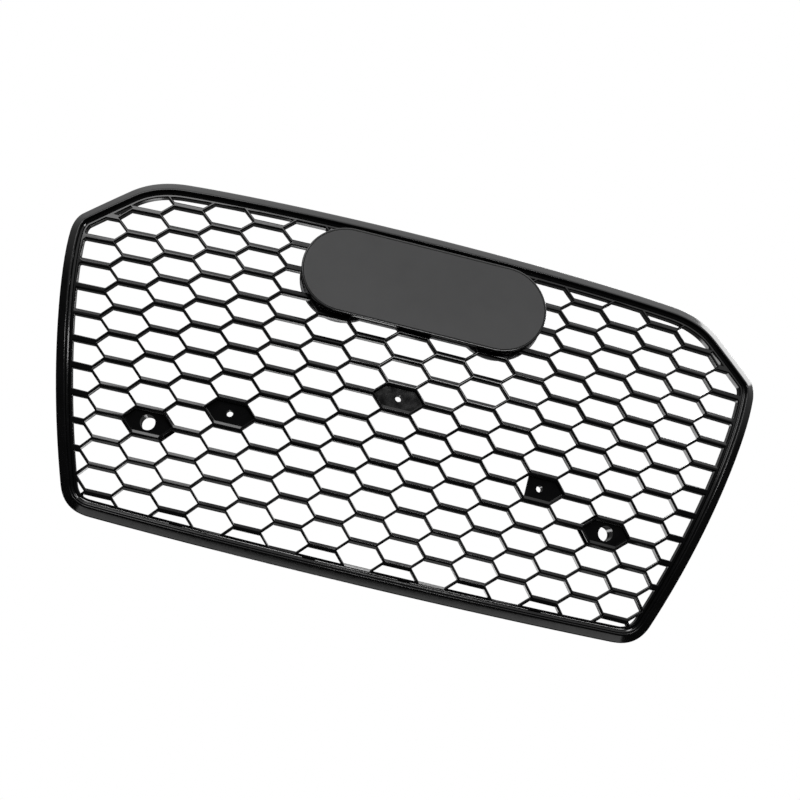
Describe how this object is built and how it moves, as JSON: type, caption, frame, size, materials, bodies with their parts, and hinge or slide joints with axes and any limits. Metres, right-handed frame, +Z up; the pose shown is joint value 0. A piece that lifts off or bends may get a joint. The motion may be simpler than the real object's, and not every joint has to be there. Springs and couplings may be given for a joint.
{
  "type": "front grille",
  "caption": "Curved honeycomb front grille for a car, in a rounded surround with chamfered top corners, with a blank emblem plate and two parking sensor sockets.",
  "frame": {"origin": "middle of the flat top face of the middle top fixing tab, behind the surround's top edge", "axes": "+X across the car to the right as seen from the front, +Y rearwards, +Z up; the grille faces -Y"},
  "size_m": [0.8684, 0.1144, 0.4308],
  "materials": {
    "gloss_black": "high gloss black moulded plastic",
    "satin_grey": "satin dark grey plastic",
    "matte_black": "plain black moulded plastic",
    "light_grey": "plain light grey moulded plastic",
    "zinc_steel": "zinc plated steel"
  },
  "bodies": {
    "root": {"emblem_carrier": "light_grey", "emblem_plate": "satin_grey", "emblem_screw_1": "zinc_steel", "emblem_screw_2": "zinc_steel", "emblem_screw_3": "zinc_steel", "emblem_screw_4": "zinc_steel", "holder_screw_left_1": "zinc_steel", "holder_screw_left_2": "zinc_steel", "holder_screw_right_1": "zinc_steel", "holder_screw_right_2": "zinc_steel", "honeycomb_mesh": "gloss_black", "mesh_screw_01": "zinc_steel", "mesh_screw_02": "zinc_steel", "mesh_screw_03": "zinc_steel", "mesh_screw_04": "zinc_steel", "mesh_screw_05": "zinc_steel", "mesh_screw_06": "zinc_steel", "mesh_screw_07": "zinc_steel", "mesh_screw_08": "zinc_steel", "mesh_screw_09": "zinc_steel", "mesh_screw_10": "zinc_steel", "mesh_screw_11": "zinc_steel", "mesh_screw_12": "zinc_steel", "mesh_screw_13": "zinc_steel", "mesh_screw_14": "zinc_steel", "sensor_holder_left": "matte_black", "sensor_holder_right": "matte_black", "spring_clip_1": "zinc_steel", "spring_clip_2": "zinc_steel", "spring_clip_3": "zinc_steel", "spring_clip_4": "zinc_steel", "spring_clip_5": "zinc_steel", "spring_clip_6": "zinc_steel", "spring_clip_7": "zinc_steel", "spring_clip_8": "zinc_steel", "surround_frame": "gloss_black"}
  },
  "joints": []
}
